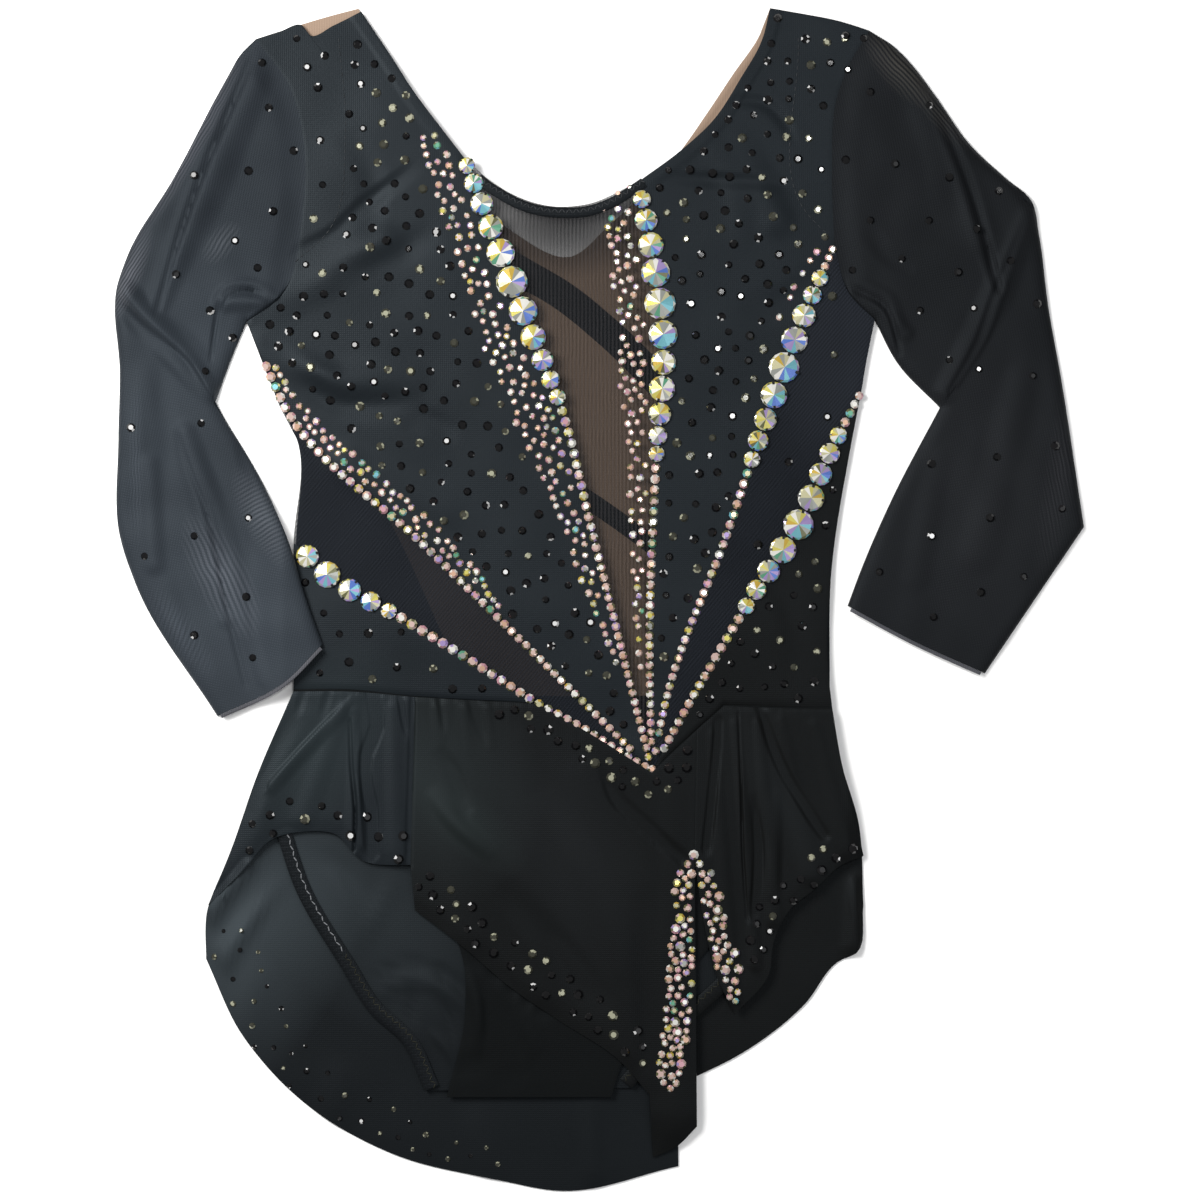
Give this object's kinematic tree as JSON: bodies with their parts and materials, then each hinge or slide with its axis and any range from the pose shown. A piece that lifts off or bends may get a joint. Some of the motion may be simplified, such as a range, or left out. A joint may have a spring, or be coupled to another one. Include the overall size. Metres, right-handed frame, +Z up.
{
  "type": "leotard",
  "caption": "Child's black skating leotard with three-quarter mesh sleeves, a gathered asymmetric skirt and rays of crystals from a V waist, laid flat.",
  "frame": {"origin": "centre of the outline, on the surface that the garment lies on", "axes": "+Z up from the surface, through the cloth; +Y towards the neck; +X towards the picture's right, the wearer's left"},
  "size_m": [0.4302, 0.5248, 0.0101],
  "materials": {
    "lycra_black": "satin",
    "mesh_black": "matte",
    "mesh_nude": "matte",
    "elastic_black": "satin",
    "crystal_iridescent": "gloss"
  },
  "bodies": {
    "root": {"back_bodice": "mesh_nude", "back_side_left": "lycra_black", "back_side_right": "lycra_black", "back_band_1": "lycra_black", "back_band_2": "lycra_black", "back_brief": "lycra_black", "front_brief": "lycra_black", "leg_binding_left": "elastic_black", "leg_binding_right": "elastic_black", "side_left": "lycra_black", "mesh_left": "mesh_black", "chest_left": "lycra_black", "mesh_centre": "mesh_black", "chest_right": "lycra_black", "mesh_right": "mesh_black", "side_right": "lycra_black", "neck_binding": "elastic_black", "sleeve_left": "mesh_black", "sleeve_right": "mesh_black", "skirt_back_left": "lycra_black", "skirt_back_right": "lycra_black", "skirt_front_left": "lycra_black", "skirt_front_centre": "lycra_black", "skirt_front_right": "lycra_black", "crystals_ray_a": "crystal_iridescent", "crystals_ray_c": "crystal_iridescent", "crystals_ray_d": "crystal_iridescent", "crystals_ray_e": "crystal_iridescent", "crystals_ray_f": "crystal_iridescent"}
  },
  "joints": []
}
